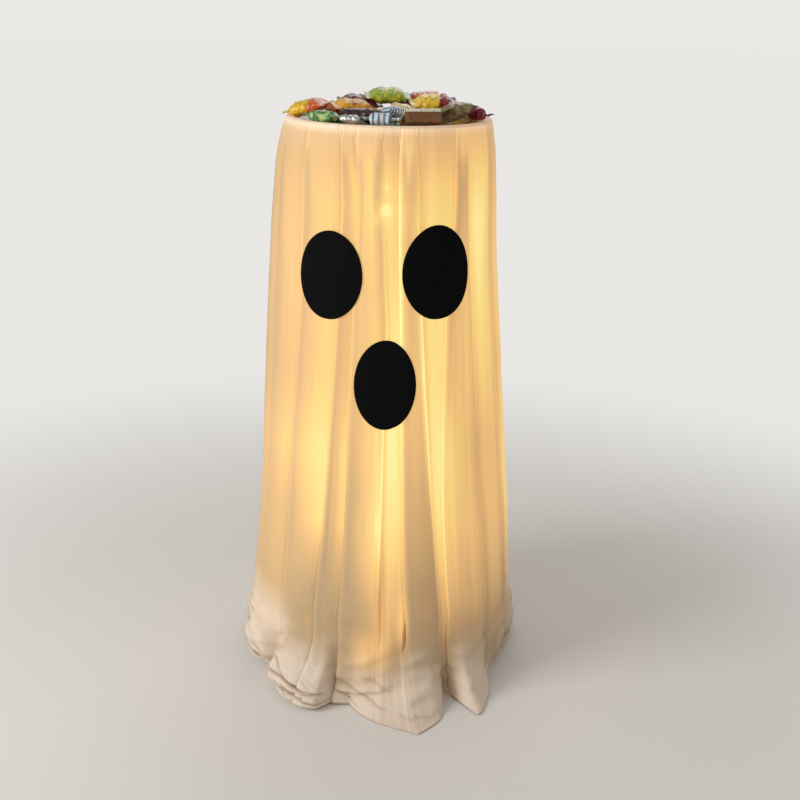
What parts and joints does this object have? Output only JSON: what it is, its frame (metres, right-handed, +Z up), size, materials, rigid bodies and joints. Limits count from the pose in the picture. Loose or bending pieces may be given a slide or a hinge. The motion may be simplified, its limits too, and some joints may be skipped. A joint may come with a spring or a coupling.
{
  "type": "ghost candy bowl holder",
  "caption": "Glowing cloth ghost with felt eyes and mouth, draped over a wire cage with a light string inside, holding a shallow bowl of wrapped candy on its head.",
  "frame": {"origin": "on the floor under the middle of the wire cage, which is the middle of the cloth's footprint", "axes": "+Z up, the face looks along -Y, +X to the viewer's right"},
  "size_m": [0.4572, 0.5779, 0.9169],
  "materials": {
    "white_cloth": "thin matt weave, lets light through",
    "black_felt": "matt felt",
    "bowl_plastic": "satin",
    "galvanised_wire": "galvanised, dull",
    "lit_lamps": "clear lamp drops on thin wire, lit warm white",
    "case_plastic": "fine texture",
    "cell_jacket": "plain jacket",
    "nickel": "nickel plated",
    "circuit_board": "lacquered board",
    "slider_plastic": "plain",
    "tie_nylon": "natural nylon",
    "carton_card": "printed card, satin",
    "wrapper_brown": "dark brown printed film, glossy",
    "wrapper_red": "red printed film, glossy",
    "wrapper_yellow": "yellow printed film, glossy",
    "wrapper_green": "green printed film, glossy",
    "wrapper_blue": "blue printed film, glossy",
    "wrapper_gold": "gold foil film, glossy",
    "wrapper_silver": "silver foil film, glossy",
    "wrapper_pale_green": "pale green film, glossy",
    "wrapper_pale_blue": "white film with pale blue stripes, glossy",
    "wrapper_magenta": "magenta film, glossy",
    "wrapper_orange": "orange printed film, glossy",
    "wrapper_maroon": "maroon printed film, glossy",
    "wrapper_lime": "light green film, glossy"
  },
  "bodies": {
    "ghost": {"ghost_sheet": "white_cloth", "felt_eye_left": "black_felt", "felt_eye_right": "black_felt", "felt_mouth": "black_felt", "bowl": "bowl_plastic", "ring_top": "galvanised_wire", "ring_middle": "galvanised_wire", "ring_lower": "galvanised_wire", "leg_back": "galvanised_wire", "leg_right": "galvanised_wire", "leg_front": "galvanised_wire", "leg_left": "galvanised_wire", "light_string": "lit_lamps", "battery_case": "case_plastic", "cell_1": "cell_jacket", "cell_2": "cell_jacket", "cell_3": "cell_jacket", "contact_spring_1": "nickel", "contact_spring_2": "nickel", "contact_spring_3": "nickel", "contact_strip_1": "nickel", "contact_strip_2": "nickel", "contact_strip_3": "nickel", "contact_strip_4": "nickel", "switch_board": "circuit_board", "tie_battery_case": "tie_nylon", "tie_string_start": "tie_nylon", "tie_string_end": "tie_nylon", "candy_01": "wrapper_brown", "candy_02": "wrapper_red", "candy_03": "wrapper_yellow", "candy_04": "wrapper_green", "candy_05": "wrapper_blue", "candy_06": "wrapper_red", "candy_07": "wrapper_gold", "candy_08": "wrapper_silver", "candy_09": "wrapper_pale_green", "candy_10": "carton_card", "candy_11": "wrapper_pale_green", "candy_12": "wrapper_gold", "candy_13": "wrapper_silver", "candy_14": "wrapper_pale_blue", "candy_15": "wrapper_magenta", "candy_16": "wrapper_brown", "candy_17": "wrapper_silver", "candy_18": "wrapper_orange", "candy_19": "wrapper_gold", "candy_20": "wrapper_silver", "candy_21": "wrapper_orange", "candy_22": "wrapper_yellow", "candy_23": "wrapper_green", "candy_24": "wrapper_yellow", "candy_25": "wrapper_maroon", "candy_26": "wrapper_yellow", "candy_27": "wrapper_red", "candy_28": "wrapper_lime"},
    "battery_cover": {"battery_cover": "case_plastic"},
    "switch_slider": {"switch_slider": "slider_plastic"}
  },
  "joints": [
    {"name": "battery_cover_slide", "type": "slide", "parent": "ghost", "child": "battery_cover", "axis": [0, 0, 1], "range_m": [0, 0.045]},
    {"name": "switch_slide", "type": "slide", "parent": "ghost", "child": "switch_slider", "axis": [1, 0, 0], "range_m": [-0.004, 0]}
  ]
}
